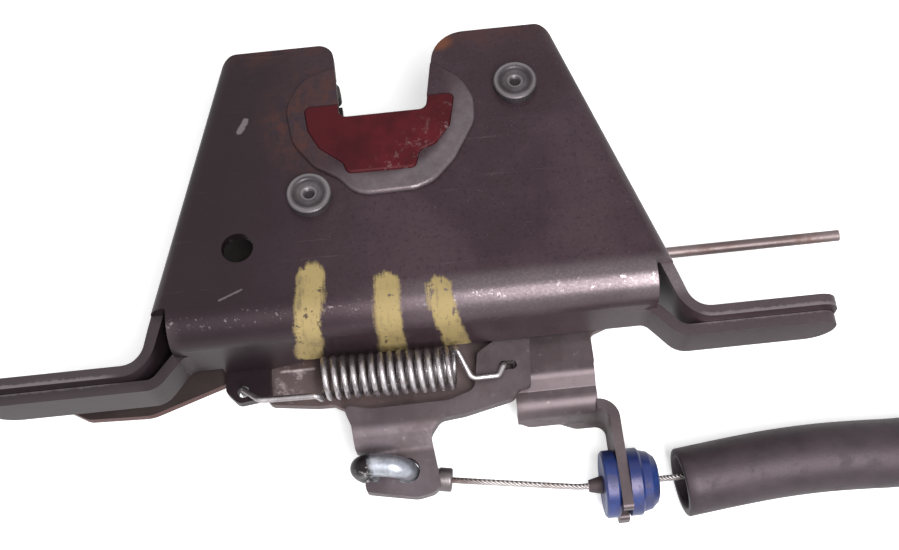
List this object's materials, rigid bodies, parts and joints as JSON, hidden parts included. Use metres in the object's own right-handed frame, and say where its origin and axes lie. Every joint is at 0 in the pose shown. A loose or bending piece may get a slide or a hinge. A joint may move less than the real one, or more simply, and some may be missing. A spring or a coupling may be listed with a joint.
{
  "type": "seat latch",
  "caption": "Folded sheet-metal seat latch with a slotted face, a pivoting catch and a sprung release lever pulled by a cable in a hose.",
  "frame": {"origin": "centre of the latched striker, on the surface that the latch lies on", "axes": "+X along the long bottom bend, +Y towards the slot's mouth, +Z out of the slotted face"},
  "size_m": [0.335, 0.1269, 0.046],
  "materials": {
    "plate_paint": "worn black-brown coating",
    "rear_paint": "thin brown coating",
    "lever_zinc": "dull zinc plate",
    "bracket_zinc": "dull zinc plate",
    "bumper_red": "scuffed moulded plastic",
    "coat_black": "moulded on the catch",
    "rivet_steel": "bright rims",
    "bush_steel": "plain",
    "spring_steel": "bright wire",
    "hook_zinc": "blue zinc plate",
    "wire_steel": "strand",
    "grommet_blue": "moulded",
    "seal_dark": "matt",
    "hose_rubber": "matt",
    "conduit_black": "satin",
    "tie_white": "moulded",
    "rod_brown": "brownish plate"
  },
  "bodies": {
    "housing": {"front_plate": "plate_paint", "bumper": "bumper_red", "catch_rivet": "rivet_steel", "catch_bush": "bush_steel", "catch_spacer": "bush_steel", "catch_washer": "bush_steel", "lever_rivet": "rivet_steel", "lever_bush": "bush_steel", "lever_spacer": "bush_steel", "lever_washer": "bush_steel", "stop_pin": "rivet_steel", "rear_plate": "rear_paint", "cable_bracket": "bracket_zinc", "grommet": "grommet_blue", "grommet_seal": "seal_dark", "side_rod": "rod_brown", "catch_spring": "spring_steel", "extension_spring": "spring_steel", "sleeve": "hose_rubber", "conduit": "conduit_black", "conduit_coil": "conduit_black", "coil_tie": "tie_white", "conduit_tail": "conduit_black", "conduit_end": "hook_zinc", "far_wire": "wire_steel", "far_nipple": "hook_zinc"},
    "catch": {"catch": "lever_zinc", "catch_coat": "coat_black"},
    "lever": {"lever": "lever_zinc"},
    "cable_end": {"cable_hook": "hook_zinc", "ferrule": "hook_zinc", "inner_wire": "wire_steel"}
  },
  "joints": [
    {"name": "catch_pivot", "type": "hinge", "parent": "housing", "child": "catch", "pos_m": [-0.0199, -0.0273, 0.0205], "axis": [0, 0, 1], "range_deg": [-38, 0], "stiffness_Nm_per_rad": 0.05, "springref_deg": 17.19, "deforming": ["catch_spring"]},
    {"name": "lever_pivot", "type": "hinge", "parent": "housing", "child": "lever", "pos_m": [0.0339, -0.0011, 0.0205], "axis": [0, 0, 1], "range_deg": [0, 8], "stiffness_Nm_per_rad": 0.1, "springref_deg": -17.19, "deforming": ["extension_spring"]},
    {"name": "cable_end_pivot", "type": "hinge", "parent": "lever", "child": "cable_end", "pos_m": [-0.0028, -0.0916, 0.017], "axis": [0, 0, 1], "range_deg": [-4.2, 0], "deforming": ["inner_wire"]}
  ],
  "couplings": [
    {"joint": "cable_end_pivot", "follows": "lever_pivot", "ratio": -0.5}
  ]
}
